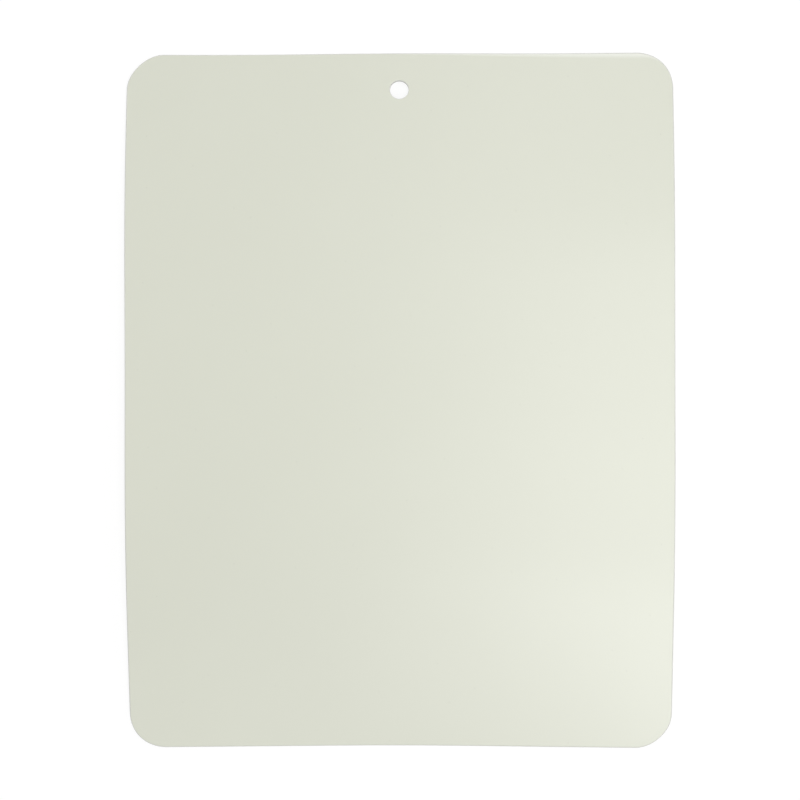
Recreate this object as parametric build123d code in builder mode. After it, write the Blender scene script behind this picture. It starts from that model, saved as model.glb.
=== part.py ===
from build123d import *
import math
import os

# A flexible kitchen cutting mat: one sheet of soft plastic with rounded corners and a hanging
# hole. It lies on the counter as a low arch, because the sheet keeps a slight curl: a flat
# crown in the middle, and two ends that droop until they touch the counter. The front end
# droops more in its middle than at its corners, and the rear end droops alike all across.
# X is across the mat, +Y runs towards the hanging hole, and Z is up. The origin is on the
# counter, half way between the two lines on which the arch stands.

# The sheet, measured along its own surface as if it lay flat
sheet_length = 360.0
sheet_width = 280.0
sheet_thickness = 2.0
corner_radius = 19.0
rim_radius = 0.75

# Hanging hole, in the middle of the rear end, measured from the rear edge to its centre
hole_diameter = 9.5
hole_setback = 19.5
hole_rim_radius = 0.4

# Front end: a gentle bend, then a straight flap. Tilts are in degrees below the crown.
front_bend_length = 90.0
front_flap_length = 80.0
front_middle_tilt = 12.3
front_side_tilt = 10.5

# Rear end: a gentler bend, then a short flap that holds the hole
rear_bend_length = 80.0
rear_flap_length = 30.0
rear_tilt = 7.3

half_width = sheet_width / 2
half_thickness = sheet_thickness / 2
front_length = front_bend_length + front_flap_length
rear_length = rear_bend_length + rear_flap_length
crown_length = sheet_length - front_length - rear_length

# How far the bent stock runs past the outline that is cut from it
overrun = 5.0

# A face or edge counts as upright by how level its normal, or how steep its direction, is
upright_share = 0.5


def on_flap(bend_length, tilt, run, depth):
    """A point of a drooping end: run is how far it lies along the flap, depth how far below
    the sheet's middle plane. Gives its reach past the crown and its fall below the crown."""
    angle = math.radians(tilt)
    bend_radius = bend_length / angle
    reach = bend_radius * math.sin(angle) + run * math.cos(angle) - depth * math.sin(angle)
    fall = bend_radius * (1 - math.cos(angle)) + run * math.sin(angle) + depth * math.cos(angle)
    return reach, fall


def foot(bend_length, flap_length, tilt):
    """The centre of the rounding along an end's lower rim, on which the arch stands. It lies
    the rim radius inside the cut edge, which is square to the crown, and above the underside."""
    angle = math.radians(tilt)
    depth = half_thickness - rim_radius
    run = flap_length - (rim_radius - depth * math.sin(angle)) / math.cos(angle)
    return on_flap(bend_length, tilt, run, depth)


def front_tilt(x):
    """Tilt of the front flap at x across the mat: most in the middle, least at the sides."""
    return front_middle_tilt + (front_side_tilt - front_middle_tilt) * (x / half_width) ** 2


# The arch stands on the middle of its front edge and on the whole of its rear edge. Both rims
# are rounded alike, so the line through the centres of the roundings is parallel to the counter.
front_reach, front_fall = foot(front_bend_length, front_flap_length, front_middle_tilt)
rear_reach, rear_fall = foot(rear_bend_length, rear_flap_length, rear_tilt)
span = front_reach + crown_length + rear_reach
rise = front_fall - rear_fall
crown_slope = math.atan2(rise, span)
stance = math.hypot(rise, span)

# The crown starts where the front bend ends, and slopes down a little towards the rear
along = Vector(0, math.cos(crown_slope), -math.sin(crown_slope))
upward = Vector(0, math.sin(crown_slope), math.cos(crown_slope))
front_foot = Vector(0, -stance / 2, rim_radius)
crown_start = front_foot + along * front_reach + upward * front_fall

crown_plane = Plane(origin=crown_start, x_dir=(1, 0, 0), z_dir=upward)

# The bent stock is cut to its outline, so it starts out larger
stock_half_width = half_width + overrun
front_stock_length = front_flap_length + overrun
rear_stock_length = rear_flap_length + overrun

# How far past the crown the ends of the sheet reach
front_reach_middle, _ = on_flap(front_bend_length, front_middle_tilt, front_flap_length, 0)
front_reach_side, _ = on_flap(front_bend_length, front_side_tilt, front_flap_length, 0)
rear_edge_reach, _ = on_flap(rear_bend_length, rear_tilt, rear_flap_length, 0)

# Where the hanging hole meets the middle plane of the rear flap, and the way it points
hole_reach, hole_fall = on_flap(rear_bend_length, rear_tilt, rear_flap_length - hole_setback, 0)
hole_centre = crown_start + along * (crown_length + hole_reach) - upward * hole_fall
rear_angle = crown_slope + math.radians(rear_tilt)
hole_axis = Vector(0, math.sin(rear_angle), math.cos(rear_angle))


def station(x):
    """Upright plane at x across the mat: its own X runs along the crown, its Y up from it."""
    return Plane(origin=crown_start + Vector(x, 0, 0), x_dir=along, z_dir=(1, 0, 0))


def end_edges(start, heading, bend_length, flap_length, tilt):
    """Draws one end, upper and lower bend, both flap faces and the cut edge between them.
    Gives the two points, upper and lower, where it joins the crown at start."""
    bend_radius = bend_length / math.radians(tilt)
    turn = -heading * tilt
    upper_bend = JernArc((start, half_thickness), (heading, 0), bend_radius + half_thickness, turn)
    upper_flap = Line(upper_bend @ 1, upper_bend @ 1 + (upper_bend % 1) * flap_length)
    lower_bend = JernArc((start, -half_thickness), (heading, 0), bend_radius - half_thickness, turn)
    lower_flap = Line(lower_bend @ 1, lower_bend @ 1 + (lower_bend % 1) * flap_length)
    Line(upper_flap @ 1, lower_flap @ 1)
    return upper_bend @ 0, lower_bend @ 0


def upright_walls(part):
    """The narrow faces all round the sheet and in its hole."""
    return part.faces().filter_by(lambda face: abs(face.normal_at().Z) < upright_share)


with BuildPart() as cutting_mat:
    # Crown and rear end of the bent stock: one outline, the same all across
    with BuildSketch(station(0)):
        with BuildLine():
            upper, lower = end_edges(crown_length, 1, rear_bend_length, rear_stock_length, rear_tilt)
            Polyline(upper, (0, half_thickness), (0, -half_thickness), lower)
        make_face()
    extrude(amount=stock_half_width, both=True)

    # Front end of the stock, lofted from side to side through three outlines
    for x in (-stock_half_width, 0, stock_half_width):
        with BuildSketch(station(x)):
            with BuildLine():
                upper, lower = end_edges(0, -1, front_bend_length, front_stock_length, front_tilt(x))
                Line(upper, lower)
            make_face()
    loft()

    # The sheet's rounded outline, cut square to the crown. The front edge bows in a little,
    # because its middle droops more and so reaches less far.
    with BuildSketch(crown_plane.offset(-front_fall - overrun)):
        with BuildLine():
            front_edge = ThreePointArc(
                (-half_width, -front_reach_side), (0, -front_reach_middle), (half_width, -front_reach_side)
            )
            rear_edge = Line(
                (half_width, crown_length + rear_edge_reach), (-half_width, crown_length + rear_edge_reach)
            )
            Line(front_edge @ 1, rear_edge @ 0)
            Line(rear_edge @ 1, front_edge @ 0)
        outline = make_face()
        fillet(outline.vertices(), radius=corner_radius)
    extrude(amount=front_fall + sheet_thickness + 2 * overrun, mode=Mode.INTERSECT)

    # Hanging hole, bored square to the rear flap
    with Locations(Plane(origin=hole_centre, x_dir=(1, 0, 0), z_dir=hole_axis)):
        Hole(radius=hole_diameter / 2)

    # Rims, softened above and below all round the sheet, and less in the hole
    rims = upright_walls(cutting_mat).edges().filter_by(lambda edge: abs((edge % 0.5).Z) < upright_share)
    arcs = rims.filter_by(GeomType.CIRCLE)
    hole_rims = arcs.filter_by(lambda arc: (arc.arc_center - hole_centre).length < sheet_thickness)
    fillet(hole_rims, radius=hole_rim_radius)
    fillet(rims - hole_rims, radius=rim_radius)

cutting_mat.part.label = "cutting_mat"
os.makedirs("parts", exist_ok=True)
export_step(cutting_mat.part, "parts/cutting_mat.step")
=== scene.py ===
import math

import bpy
from mathutils import Euler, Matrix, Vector


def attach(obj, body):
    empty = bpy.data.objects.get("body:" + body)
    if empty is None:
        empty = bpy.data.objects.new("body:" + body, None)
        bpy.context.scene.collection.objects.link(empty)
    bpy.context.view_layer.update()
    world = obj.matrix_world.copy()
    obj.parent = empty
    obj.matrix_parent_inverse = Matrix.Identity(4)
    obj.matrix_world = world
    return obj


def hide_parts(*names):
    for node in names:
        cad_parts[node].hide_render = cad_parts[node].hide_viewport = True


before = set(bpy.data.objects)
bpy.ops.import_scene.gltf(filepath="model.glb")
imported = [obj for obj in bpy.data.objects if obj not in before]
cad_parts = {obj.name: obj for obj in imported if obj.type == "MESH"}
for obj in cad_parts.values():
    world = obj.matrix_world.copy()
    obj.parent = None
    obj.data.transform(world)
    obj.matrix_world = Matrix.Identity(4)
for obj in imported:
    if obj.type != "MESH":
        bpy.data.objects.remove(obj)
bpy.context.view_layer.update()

# A flexible kitchen cutting mat, lying on a white counter and seen from straight above. The one
# sheet is first laid out flat, with its rounded corners, hanging hole and softened rims, and then
# bent into the low arch in which it rests. X is across the mat, +Y runs towards the hanging hole,
# and the counter is at height 0.

MM = 0.001

# The sheet, measured along its own middle plane as if it lay flat
sheet_length = 360 * MM
sheet_width = 280 * MM
sheet_thickness = 2 * MM
corner_radius = 19 * MM
rim_radius = 0.75 * MM

# Its hanging hole, measured from the rear edge to the hole's centre
hole_radius = 4.75 * MM
hole_setback = 19.5 * MM
hole_rim_radius = 0.4 * MM

# The bends at its two ends, with tilts in degrees below the crown
front_bend_length = 90 * MM
front_flap_length = 80 * MM
front_middle_tilt = 12.3
front_side_tilt = 10.5
rear_bend_length = 80 * MM
rear_flap_length = 30 * MM
rear_tilt = 7.3
bend_easing = 30 * MM

# The flat sheet is drawn as u across it and v along it, with its crown starting at v = 0
half_width = sheet_width / 2
half_thickness = sheet_thickness / 2
front_edge = -(front_bend_length + front_flap_length)
rear_edge = front_edge + sheet_length
crown_length = rear_edge - rear_bend_length - rear_flap_length
hole_middle = rear_edge - hole_setback
corner_u = half_width - corner_radius
corner_front = front_edge + corner_radius
corner_rear = rear_edge - corner_radius

# The knife that cut the rear edge rolled its upper rim down a little, over a width that grows from
# near the middle to the right corner, and its paler colour there is a painted highlight. The roll
# eases in over a share of its width, down to its full tilt, and fades out round the corner.
rolled_from = -34 * MM
rolled_width = 4 * MM
rolled_tilt = 12
eased_share = 0.6
corner_fading = 6

# The corners aren't cut quite alike: how far the middle of each stands out past a plain rounding
corner_fullness = {
    ("left", "front"): 0.3 * MM,
    ("right", "front"): -0.5 * MM,
    ("left", "rear"): -0.65 * MM,
    ("right", "rear"): 0.25 * MM,
}

# Nor are the edges cut quite straight. Each has a slow wave in it: how far it stands out in its
# middle, how far where the wave turns, and at what share of the way to the corner that is
edge_waves = {
    "front": (-0.22 * MM, 0.04 * MM),
    "rear": (-0.05 * MM, -0.42 * MM),
    "left": (-0.4 * MM, -0.04 * MM),
    "right": (-0.3 * MM, -0.18 * MM),
}
wave_share = 0.65

# Both ends are cut a little out of square: how far the rear one stands out at its right corner,
# and falls back at its left one, and the front one the other way
out_of_square = 0.12 * MM


# How it stands

def foot(bend_length, flap_length, tilt):
    """How far past the crown, and how far below it, the rounding of an end's lower rim has its
    centre. The sheet stands on that rim."""
    angle = math.radians(tilt)
    bend_radius = bend_length / angle
    depth = half_thickness - rim_radius
    run = flap_length - (rim_radius - depth * math.sin(angle)) / math.cos(angle)
    reach = bend_radius * math.sin(angle) + run * math.cos(angle) - depth * math.sin(angle)
    fall = bend_radius * (1 - math.cos(angle)) + run * math.sin(angle) + depth * math.cos(angle)
    return reach, fall


# It stands on the middle of its front edge and on its rear edge, with the origin half way between.
# The front end droops more, so the crown slopes down a little towards the rear.
front_reach, front_fall = foot(front_bend_length, front_flap_length, front_middle_tilt)
rear_reach, rear_fall = foot(rear_bend_length, rear_flap_length, rear_tilt)
span = front_reach + crown_length + rear_reach
rise = front_fall - rear_fall
crown_slope = math.atan2(rise, span)
front_foot = Vector((0, -math.hypot(rise, span) / 2, rim_radius))
along = Vector((0, math.cos(crown_slope), -math.sin(crown_slope)))
upward = Vector((0, math.sin(crown_slope), math.cos(crown_slope)))
crown_start = front_foot + along * front_reach + upward * front_fall


# Laying out the flat sheet

# Each face is a grid of cells, smaller at the corners and near the hole, with a square patch left
# open round the hole that reaches this far from its middle
cell = 4 * MM
corner_cell = 1.4 * MM
hole_cell = 1.5 * MM
hole_patch = 12 * MM

# Round the grid lies a border of narrow rings, so many steps inside the edge. The edge itself is
# cut a hair inside the solid's.
border = 5 * MM
ring_step = 0.5 * MM
border_rings = range(9, 1, -1)
inside_solid = 0.02 * MM

# Between the patch and the hole lie rings this far from the hole's wall. They turn from square to
# round at this pace, and those nearer than the last figure are round.
hole_rings = [4.2 * MM, 2.6 * MM, 1.6 * MM, 1.0 * MM, 0.65 * MM]
rounding_pace = 1.25
round_within = 2 * MM

# How many facets a rounded rim has
rim_facets = 6
hole_rim_facets = 5

core_half_width = half_width - border
core_front = front_edge + border
core_rear = rear_edge - border
core_radius = corner_radius - border


def stations(stops, steps):
    """Places along a line: from each stop to the next in even steps of about the given length."""
    places = [stops[0]]
    for start, stop, step in zip(stops, stops[1:], steps):
        count = max(1, round((stop - start) / step))
        places += [start + (stop - start) * k / count for k in range(1, count + 1)]
    return places


def nearest_inside(u, v):
    """The nearest point of the block whose corners are the centres of the sheet's roundings."""
    return max(-corner_u, min(corner_u, u)), max(corner_front, min(corner_rear, v))


def rounded_in(u, v):
    """Moves a point of the square-cornered grid so that the grid's corners are round."""
    middle_u, middle_v = nearest_inside(u, v)
    past_u = abs(u - middle_u)
    past_v = abs(v - middle_v)
    p = past_u / core_radius
    q = past_v / core_radius
    du = past_u * math.sqrt(1 - q * q / 2)
    dv = past_v * math.sqrt(1 - p * p / 2)
    return middle_u + math.copysign(du, u), middle_v + math.copysign(dv, v - middle_v)


def facing_out(u, v):
    """The direction straight out of the sheet's outline at a point near it."""
    middle_u, middle_v = nearest_inside(u, v)
    return Vector((u - middle_u, v - middle_v)).normalized()


def waving(edge, share):
    """How far an edge stands out at this share of the way from its middle to its corner."""
    middle, turn = edge_waves[edge]
    swing = math.cos(math.pi * max(-1, min(1, share)) / wave_share)
    return (middle + turn) / 2 + (middle - turn) / 2 * swing


def standing_out(start, heading):
    """How far the cut stands out past the true outline, beside a place and facing this way."""
    side = "right" if heading.x > 0 else "left"
    end = "rear" if heading.y > 0 else "front"
    halfway = (corner_front + corner_rear) / 2
    at_side = waving(side, (start.y - halfway) / (corner_rear - halfway))
    at_end = waving(end, start.x / corner_u)
    at_end += math.copysign(out_of_square, heading.y) * start.x / half_width
    fullness = corner_fullness[side, end] * (2 * heading.x * heading.y) ** 2
    return at_side * heading.x ** 2 + at_end * heading.y ** 2 + fullness


def rolled_width_at(u, heading):
    """How wide the rolled rim is at u, where the outline faces the rear by this much."""
    growth = (u - rolled_from) / (corner_u - rolled_from)
    return rolled_width * max(0, min(1, growth)) * max(0, heading) ** corner_fading


def rolled_down(width, inset):
    """How far the rolled rim has come down at a distance inside the outline."""
    run = max(0, width - inset)
    if run == 0:
        return 0
    easing = eased_share * width
    eased = min(run, easing)
    return math.tan(math.radians(rolled_tilt)) * (run - eased + eased ** 2 / (2 * easing))


def painted_rim_highlight(width, inset, edge):
    """How much painted highlight the rolled rim has at the same place: less again where it turns
    into the cut.
    """
    if inset >= width:
        return 0
    return min(1, (width - inset) / (eased_share * width)) * (1 - edge)


def square_cut(u, heading):
    """How much the cut edge leans for its height: it is square to the crown, not to its flap."""
    front_tilt = front_middle_tilt + (front_side_tilt - front_middle_tilt) * (u / half_width) ** 2
    tilt = rear_tilt if heading > 0 else front_tilt
    return math.tan(math.radians(tilt)) * abs(heading)


def over_the_edge(insets, radius, facets):
    """Steps across the upper face, down its softened rim, and back under the lower face. Each has
    its distance inside the cut, its height, and how much it is cut edge: 1 there, 0 on a face."""
    upper = [(inset, half_thickness, 0.0) for inset in insets]
    for k in range(facets + 1):
        angle = math.pi / 2 * k / facets
        depth = radius * (1 - math.cos(angle))
        upper.append((radius * (1 - math.sin(angle)), half_thickness - depth, k / facets))
    lower = [(inset, -height, edge) for inset, height, edge in reversed(upper)]
    return upper + lower


def places_round(left, right, front, rear):
    """Grid places counter-clockwise round a block of the grid, from its front left corner."""
    return (
        [(i, front) for i in range(left, right)]
        + [(right, j) for j in range(front, rear)]
        + [(i, rear) for i in range(right, left, -1)]
        + [(left, j) for j in range(rear, front, -1)]
    )


class Layout:
    """The points and faces of a mesh, and for each point how much it is cut edge, and how much
    painted highlight it has.
    """

    def __init__(self):
        self.points = []
        self.faces = []
        self.edges = []
        self.highlight_shares = []

    def add(self, u, v, height, edge=0.0, highlight_share=0.0):
        """Adds a point and gives its number."""
        self.points.append((u, v, height))
        self.edges.append(edge)
        self.highlight_shares.append(highlight_share)
        return len(self.points) - 1

    def flat_place(self, number):
        """Where a point lies on the flat sheet, seen from above."""
        return Vector(self.points[number][:2])

    def join(self, ring, following):
        """Faces between two rings of points, the first one on the left hand of the second."""
        for k in range(len(ring)):
            after = (k + 1) % len(ring)
            self.faces.append((ring[k], following[k], following[after], ring[after]))


def lay_face(layout, across, lengthwise, patch_u, patch_v, side):
    """One face of the sheet, upper for side 1 and lower for side -1, with the patch left open.
    Gives the number of each grid place's point."""
    in_patch = {(i, j) for i in patch_u[:-1] for j in patch_v[:-1]}
    inside_patch = {(i, j) for i in patch_u[1:-1] for j in patch_v[1:-1]}
    grid = {
        (i, j): layout.add(*rounded_in(u, v), side * half_thickness)
        for i, u in enumerate(across)
        for j, v in enumerate(lengthwise)
        if (i, j) not in inside_patch
    }
    for i in range(len(across) - 1):
        for j in range(len(lengthwise) - 1):
            if (i, j) not in in_patch:
                corners = (grid[i, j], grid[i + 1, j], grid[i + 1, j + 1], grid[i, j + 1])
                layout.faces.append(corners[::side])
    return grid


def cut_outline(layout, upper_ring, lower_ring):
    """The sheet's border and cut edge: from the upper face over the rim to the lower face."""
    starts = [layout.flat_place(number) for number in upper_ring]
    headings = [facing_out(*start) for start in starts]
    insets = [count * ring_step for count in border_rings]
    wall_foot = rim_radius - half_thickness
    wall_and_rim = half_thickness - wall_foot
    ring = upper_ring
    for inset, height, edge in over_the_edge(insets, rim_radius, rim_facets):
        following = []
        for start, heading in zip(starts, headings):
            lean = height * edge * square_cut(start.x, heading.y)
            out = standing_out(start, heading) * (1 - inset / border)
            spot = start + heading * (border - inside_solid - inset - lean + out)
            width = rolled_width_at(spot.x, heading.y) if height > 0 else 0
            kept = 1 - rolled_down(width, inset) / wall_and_rim
            lower = height if kept == 1 else wall_foot + (height - wall_foot) * kept
            # How much painted highlight the rolled rim gets at this point
            highlight_share = painted_rim_highlight(width, inset, edge)
            following.append(layout.add(spot.x, spot.y, lower, edge, highlight_share))
        layout.join(ring, following)
        ring = following
    layout.join(ring, lower_ring)


def bore_hole(layout, upper_ring, lower_ring):
    """The hole with its softened rims, and the rings that lead to it from the square patch."""
    starts = [layout.flat_place(number) for number in upper_ring]
    quarter = len(upper_ring) // 4
    front_left = math.radians(-135)
    turns = [front_left + math.pi / 2 * k / quarter for k in range(len(upper_ring))]
    headings = [Vector((math.cos(turn), math.sin(turn))) for turn in turns]
    middle = Vector((0, hole_middle))
    ring = upper_ring
    for inset, height, edge in over_the_edge(hole_rings, hole_rim_radius, hole_rim_facets):
        roundness = min(1, rounding_pace * (1 - inset / (hole_patch - hole_radius)))
        following = []
        for start, heading in zip(starts, headings):
            on_circle = middle + heading * (hole_radius + inset)
            spot = on_circle if inset < round_within else start.lerp(on_circle, roundness)
            following.append(layout.add(spot.x, spot.y, height, edge))
        layout.join(following, ring)
        ring = following
    layout.join(lower_ring, ring)


def flat_sheet():
    """The flat sheet: its two faces, its outer edge and its hole."""
    across = stations(
        [-core_half_width, -corner_u, -hole_patch, hole_patch, corner_u, core_half_width],
        [corner_cell, cell, hole_cell, cell, corner_cell],
    )
    patch_front = corner_rear - hole_patch
    patch_rear = corner_rear + hole_patch
    lengthwise = stations(
        [core_front, corner_front, patch_front, corner_rear, patch_rear, core_rear],
        [corner_cell, cell, hole_cell, hole_cell, hole_cell],
    )
    patch_reach = hole_patch + hole_cell / 2
    patch_u = [k for k, u in enumerate(across) if abs(u) < patch_reach]
    patch_v = [k for k, v in enumerate(lengthwise) if abs(v - corner_rear) < patch_reach]
    layout = Layout()
    upper = lay_face(layout, across, lengthwise, patch_u, patch_v, 1)
    lower = lay_face(layout, across, lengthwise, patch_u, patch_v, -1)
    outline = places_round(0, len(across) - 1, 0, len(lengthwise) - 1)
    cut_outline(layout, [upper[place] for place in outline], [lower[place] for place in outline])
    square = places_round(patch_u[0], patch_u[-1], patch_v[0], patch_v[-1])
    bore_hole(layout, [upper[place] for place in square], [lower[place] for place in square])
    return layout


# Bending it

class Working:
    """Writes sums into a node tree, one node for each step."""

    def __init__(self, tree):
        self.tree = tree

    def give(self, socket, value):
        """Sets a socket to a number, or links it to the result of another step."""
        if isinstance(value, bpy.types.NodeSocket):
            self.tree.links.new(value, socket)
        else:
            socket.default_value = value

    def step(self, kind, *values, **settings):
        """Adds a node with its settings, and gives its inputs the values in turn."""
        node = self.tree.nodes.new(kind)
        for name, setting in settings.items():
            setattr(node, name, setting)
        for socket, value in zip(node.inputs, values):
            self.give(socket, value)
        return node

    def sum(self, operation, *values):
        """The result of one sum."""
        return self.step("ShaderNodeMath", *values, operation=operation).outputs[0]

    def choose(self, first_if, yes, no):
        """The second value where the first is 1, and the third where it is 0."""
        change = self.sum("SUBTRACT", yes, no)
        return self.sum("MULTIPLY_ADD", change, first_if, no)


bending_sizes = {
    "Half Width": half_width,
    "Crown Length": crown_length,
    "Front Bend Length": front_bend_length,
    "Front Middle Tilt": math.radians(front_middle_tilt),
    "Front Side Tilt": math.radians(front_side_tilt),
    "Rear Bend Length": rear_bend_length,
    "Rear Tilt": math.radians(rear_tilt),
    "Bend Easing": bend_easing,
    "Crown Slope": crown_slope,
}


def bending_tree():
    """Bends the flat sheet down beyond each end of its crown: round an arc, then straight on,
    with the curve eased in and out."""
    tree = bpy.data.node_groups.new("bending", "GeometryNodeTree")
    tree.is_modifier = True
    sockets = tree.interface
    sockets.new_socket("Geometry", in_out="INPUT", socket_type="NodeSocketGeometry")
    for name in bending_sizes:
        sockets.new_socket(name, in_out="INPUT", socket_type="NodeSocketFloat")
    sockets.new_socket("Crown Start", in_out="INPUT", socket_type="NodeSocketVector")
    sockets.new_socket("Material", in_out="INPUT", socket_type="NodeSocketMaterial")
    sockets.new_socket("Geometry", in_out="OUTPUT", socket_type="NodeSocketGeometry")
    work = Working(tree)
    given = work.step("NodeGroupInput").outputs
    place = work.step("GeometryNodeInputPosition").outputs[0]
    u, v, height = work.step("ShaderNodeSeparateXYZ", place).outputs

    # The front tilts most in the middle, and less towards both sides
    side_share = work.sum("POWER", work.sum("DIVIDE", u, given["Half Width"]), 2.0)
    less = work.sum("SUBTRACT", given["Front Side Tilt"], given["Front Middle Tilt"])
    front_tilt = work.sum("MULTIPLY_ADD", less, side_share, given["Front Middle Tilt"])
    in_front = work.sum("LESS_THAN", v, work.sum("MULTIPLY", given["Crown Length"], 0.5))
    tilt = work.choose(in_front, front_tilt, given["Rear Tilt"])
    bend_length = work.choose(in_front, given["Front Bend Length"], given["Rear Bend Length"])

    # How far past the crown a point lies, first round the bend and then along the flap
    easing = given["Bend Easing"]
    before = work.sum("SMOOTH_MAX", work.sum("MULTIPLY", v, -1.0), 0.0, easing)
    behind = work.sum("SMOOTH_MAX", work.sum("SUBTRACT", v, given["Crown Length"]), 0.0, easing)
    past = work.sum("ADD", before, behind)
    round_bend = work.sum("SMOOTH_MIN", past, bend_length, easing)
    along_flap = work.sum("SUBTRACT", past, round_bend)
    bend_radius = work.sum("DIVIDE", bend_length, tilt)
    angle = work.sum("DIVIDE", round_bend, bend_radius)
    sine = work.sum("SINE", angle)
    cosine = work.sum("COSINE", angle)

    # Its reach past the crown and its fall below it, with its own height in the sheet
    reach = work.sum("MULTIPLY", bend_radius, sine)
    reach = work.sum("MULTIPLY_ADD", along_flap, cosine, reach)
    reach = work.sum("MULTIPLY_ADD", height, sine, reach)
    fall = work.sum("MULTIPLY", bend_radius, work.sum("SUBTRACT", 1.0, cosine))
    fall = work.sum("MULTIPLY_ADD", along_flap, sine, fall)
    above = work.sum("SUBTRACT", work.sum("MULTIPLY", height, cosine), fall)
    heading = work.choose(in_front, -1.0, 1.0)
    on_crown = work.sum("SUBTRACT", work.sum("ADD", v, before), behind)
    lengthwise = work.sum("MULTIPLY_ADD", reach, heading, on_crown)

    # The arch leans to the rear until both of its ends stand on the counter
    bent = work.step("ShaderNodeCombineXYZ", u, lengthwise, above).outputs[0]
    lean = work.step("ShaderNodeVectorRotate", bent, rotation_type="X_AXIS")
    work.give(lean.inputs["Angle"], work.sum("MULTIPLY", given["Crown Slope"], -1.0))
    standing = work.step(
        "ShaderNodeVectorMath", lean.outputs[0], given["Crown Start"], operation="ADD"
    )

    moved = work.step("GeometryNodeSetPosition", given["Geometry"])
    work.give(moved.inputs["Position"], standing.outputs[0])
    smooth = work.step("GeometryNodeSetShadeSmooth", moved.outputs[0])
    real = work.step("GeometryNodeRealizeInstances", smooth.outputs[0])
    finished = work.step("GeometryNodeSetMaterial", real.outputs[0])
    work.give(finished.inputs["Material"], given["Material"])
    work.step("NodeGroupOutput", finished.outputs[0])
    return tree


def bent_sheet(name, material):
    """The mat as one plain mesh, bent and standing in its place."""
    layout = flat_sheet()
    mesh = bpy.data.meshes.new(name + "_flat")
    mesh.from_pydata(layout.points, [], layout.faces)
    mesh.attributes.new("cut_edge", "FLOAT", "POINT").data.foreach_set("value", layout.edges)
    # Each point's share of the painted highlight on the rolled rim
    mesh.attributes.new("highlight_share", "FLOAT", "POINT").data.foreach_set("value", layout.highlight_shares)
    piece = bpy.data.objects.new(name, mesh)
    bpy.context.scene.collection.objects.link(piece)
    tree = bending_tree()
    modifier = piece.modifiers.new("bending", "NODES")
    modifier.node_group = tree
    values = dict(bending_sizes, **{"Crown Start": crown_start, "Material": material})
    for socket in tree.interface.items_tree:
        if socket.in_out == "INPUT" and socket.name in values:
            modifier[socket.identifier] = values[socket.name]
    scene_now = bpy.context.evaluated_depsgraph_get()
    bent = bpy.data.meshes.new_from_object(
        piece.evaluated_get(scene_now), preserve_all_data_layers=True, depsgraph=scene_now
    )
    piece.modifiers.remove(modifier)
    piece.data = bent
    bent.name = name
    bpy.data.meshes.remove(mesh)
    return piece


# What it is made of

# The plastic's tone clouds between two colours. Specks and the cut have their own, and the rolled
# rim has a paler painted highlight.
darker_tone = (0.684, 0.699, 0.600, 1)
lighter_tone = (0.700, 0.715, 0.616, 1)
speck_colour = (0.640, 0.652, 0.560, 1)
# A painted highlight on the rolled rim
painted_highlight_colour = (0.800, 0.812, 0.735, 1)
cut_colour = (0.705, 0.710, 0.675, 1)

# The cut's colour comes in this fast as the rim turns over, up to this share
cut_onset = 3.0
cut_share = 0.7

# Its patterns, as repeats in a metre, and how much of the space between specks each one reaches
clouds_per_metre = 14
cloud_detail = 3
specks_per_metre = 26
speck_reach = 0.008
grain_per_metre = 2600
grain_detail = 2
grain_strength = 0.35
grain_depth = 0.04 * MM

# Its satin face: how rough it is, how much more where it clouds, and how much less on the cut
face_roughness = 0.28
clouded_roughness = 0.04
cut_smoothness = 0.08
plastic_ior = 1.5

# The counter's paint, as light meets it. The camera sees it whiter: mostly its own glow, and for
# the rest white paint, which keeps the mat's shadow. It reaches this far each way.
counter_paint = (0.8, 0.8, 0.8, 1)
white = (1, 1, 1, 1)
counter_glow = 1.03
glow_share = 0.87
counter_reach = 1000 * MM


def new_material(name):
    """An empty node material, a hand to write into it, and its output node."""
    material = bpy.data.materials.new(name)
    material.use_nodes = True
    tree = material.node_tree
    tree.nodes.clear()
    return material, Working(tree), tree.nodes.new("ShaderNodeOutputMaterial")


def noise(work, place, scale, detail):
    """A noise pattern on the given coordinates."""
    pattern = work.step("ShaderNodeTexNoise", place)
    pattern.inputs["Scale"].default_value = scale
    pattern.inputs["Detail"].default_value = detail
    return pattern.outputs["Fac"]


def mixed(work, share, colour, other):
    """A colour, mixed with this share of another one."""
    mixing = work.step("ShaderNodeMix", data_type="RGBA")
    work.give(mixing.inputs["Factor"], share)
    work.give(mixing.inputs["A"], colour)
    work.give(mixing.inputs["B"], other)
    return mixing.outputs["Result"]


def plastic_colour(work, place, clouds, edge):
    """A clouded tone with a few specks, a paler painted highlight on the rolled rim, and more
    neutral on the cut.
    """
    tone = mixed(work, clouds, darker_tone, lighter_tone)
    scatter = work.step("ShaderNodeTexVoronoi", place, voronoi_dimensions="2D")
    scatter.inputs["Scale"].default_value = specks_per_metre
    speck = work.sum("LESS_THAN", scatter.outputs["Distance"], speck_reach)
    specked = mixed(work, speck, tone, speck_colour)
    # The rolled rim is painted paler: a painted highlight
    highlight_share = work.step("ShaderNodeAttribute", attribute_name="highlight_share").outputs["Fac"]
    with_highlight = mixed(work, highlight_share, specked, painted_highlight_colour)
    cut = work.sum("MINIMUM", work.sum("MULTIPLY", edge, cut_onset), cut_share)
    return mixed(work, cut, with_highlight, cut_colour)


def plastic_grain(work, place, edge):
    """A fine matte grain on the faces, which fades out towards the cut."""
    grain = noise(work, place, grain_per_metre, grain_detail)
    bump = work.step("ShaderNodeBump")
    bump.inputs["Strength"].default_value = grain_strength
    bump.inputs["Distance"].default_value = grain_depth
    work.give(bump.inputs["Height"], work.sum("MULTIPLY", grain, work.sum("SUBTRACT", 1.0, edge)))
    return bump.outputs[0]


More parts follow.
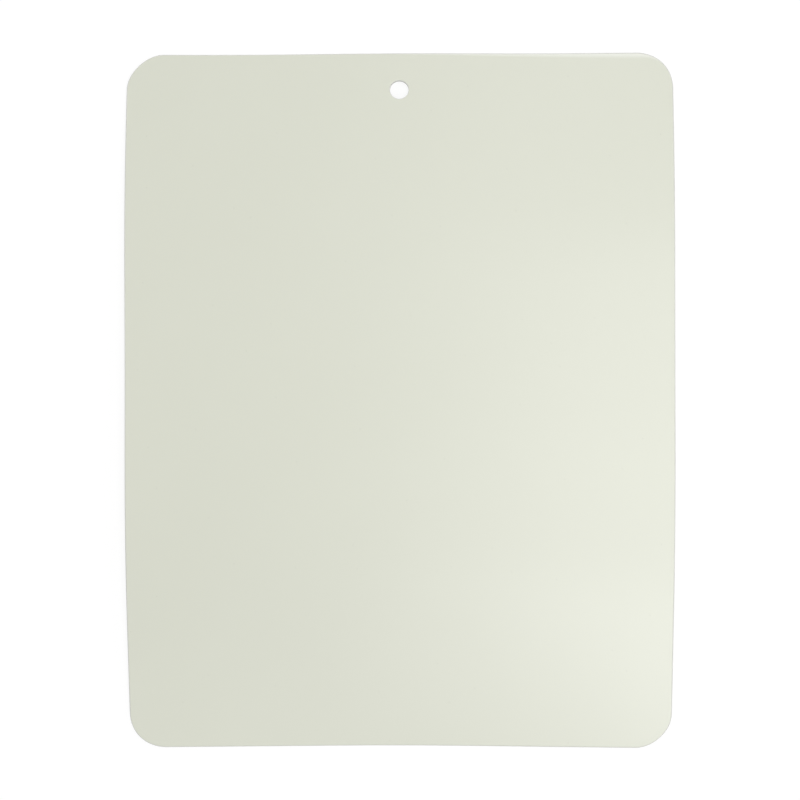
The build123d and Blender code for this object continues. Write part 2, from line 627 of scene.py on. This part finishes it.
def soft_plastic():
    """Soft satin plastic with a fine matte grain, a little smoother along its cut edge."""
    material, work, output = new_material("soft_plastic")
    place = work.step("ShaderNodeTexCoord").outputs["Object"]
    edge = work.step("ShaderNodeAttribute", attribute_name="cut_edge").outputs["Fac"]
    clouds = noise(work, place, clouds_per_metre, cloud_detail)
    roughness = work.sum("MULTIPLY_ADD", clouds, clouded_roughness, face_roughness)
    roughness = work.sum("MULTIPLY_ADD", edge, -cut_smoothness, roughness)
    plastic = work.step("ShaderNodeBsdfPrincipled")
    work.give(plastic.inputs["Base Color"], plastic_colour(work, place, clouds, edge))
    work.give(plastic.inputs["Roughness"], roughness)
    work.give(plastic.inputs["Normal"], plastic_grain(work, place, edge))
    plastic.inputs["IOR"].default_value = plastic_ior
    work.give(output.inputs["Surface"], plastic.outputs[0])
    return material


def camera_sees(work):
    """1 for a ray that shows the camera something, straight or in a gloss or glass, else 0."""
    rays = work.step("ShaderNodeLightPath").outputs
    seen = work.sum("MAXIMUM", rays["Is Camera Ray"], rays["Is Glossy Ray"])
    return work.sum("MAXIMUM", seen, rays["Is Transmission Ray"])


def white_counter():
    """A white counter top: the camera sees it white, with the mat's shadow kept."""
    material, work, output = new_material("white_counter")
    paint = work.step("ShaderNodeBsdfDiffuse", counter_paint)
    seen_paint = work.step("ShaderNodeBsdfDiffuse", white)
    glow = work.step("ShaderNodeEmission", white, counter_glow)
    seen_white = work.step(
        "ShaderNodeMixShader", glow_share, seen_paint.outputs[0], glow.outputs[0]
    )
    counter = work.step(
        "ShaderNodeMixShader", camera_sees(work), paint.outputs[0], seen_white.outputs[0]
    )
    work.give(output.inputs["Surface"], counter.outputs[0])
    return material


def counter_top():
    """The flat counter that the mat lies on."""
    reach = counter_reach
    mesh = bpy.data.meshes.new("counter")
    corners = [(-reach, -reach, 0), (reach, -reach, 0), (reach, reach, 0), (-reach, reach, 0)]
    mesh.from_pydata(corners, [], [(0, 1, 2, 3)])
    mesh.materials.append(white_counter())
    counter = bpy.data.objects.new("counter", mesh)
    bpy.context.scene.collection.objects.link(counter)


# Light and camera

room_light = 0.243

# The camera looks down from a metre up, a little off the mat's middle and so turned back a little
# towards it, in degrees about X, Y and Z
camera_place = Vector((19.55, 36.58, 1017.819)) * MM
camera_turn = (-2.0133, 1.0955, -0.0934)
focal_length = 88.75
sensor_width = 36


def light_room():
    """Even light from all round, in a room that the camera sees as white."""
    world = bpy.data.worlds.new("room")
    world.use_nodes = True
    tree = world.node_tree
    tree.nodes.clear()
    work = Working(tree)
    level = work.choose(camera_sees(work), 1.0, room_light)
    light = work.step("ShaderNodeBackground", white, level)
    output = tree.nodes.new("ShaderNodeOutputWorld")
    work.give(output.inputs["Surface"], light.outputs[0])
    bpy.context.scene.world = world


def softbox(name, place, size, brightness, aim=None):
    """A soft studio panel, which faces straight down unless it is aimed at a point. At a
    brightness of 1 it looks white."""
    lamp = bpy.data.lights.new(name, "AREA")
    lamp.shape = "RECTANGLE"
    lamp.size, lamp.size_y = size
    lamp.energy = brightness * math.pi * size[0] * size[1]
    panel = bpy.data.objects.new(name, lamp)
    panel.location = place
    straight_down = (place[0], place[1], 0)
    towards = Vector(aim or straight_down) - Vector(place)
    panel.rotation_euler = towards.to_track_quat("-Z", "Y").to_euler()
    panel.visible_camera = False
    bpy.context.scene.collection.objects.link(panel)


def studio_panels():
    """Three panels in a row overhead, to the right, give the mat's right half its sheen, most in
    front. The other three hang behind it and on both sides, and light its rims."""
    softbox("front_panel", place=(0.37, -1.20, 2.0), size=(0.40, 0.35), brightness=18.0)
    softbox("middle_panel", place=(0.37, -0.32, 2.0), size=(0.40, 1.40), brightness=6.5)
    softbox("rear_panel", place=(0.30, 1.15, 2.0), size=(0.60, 1.50), brightness=1.9)
    middle = (0, 0, 0)
    softbox(
        "low_rear_panel", place=(0.3, 1.886, 1.133), size=(1.6, 0.5), brightness=3.0, aim=middle
    )
    softbox("right_panel", place=(1.5, -0.3, 1.4), size=(1.6, 1.0), brightness=1.8, aim=middle)
    softbox("left_panel", place=(-1.5, 0.6, 1.4), size=(1.6, 1.0), brightness=1.7, aim=middle)


def overhead_camera():
    """The camera over the mat, with the photo's square frame."""
    lens = bpy.data.cameras.new("camera")
    lens.sensor_width = sensor_width
    lens.lens = focal_length
    camera = bpy.data.objects.new("camera", lens)
    camera.location = camera_place
    camera.rotation_euler = Euler([math.radians(turn) for turn in camera_turn])
    bpy.context.scene.collection.objects.link(camera)
    bpy.context.scene.camera = camera


mat = bent_sheet("mat", soft_plastic())
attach(mat, "root")
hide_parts("cutting_mat")

counter_top()
light_room()
studio_panels()
overhead_camera()
bpy.context.scene.view_settings.view_transform = "Standard"
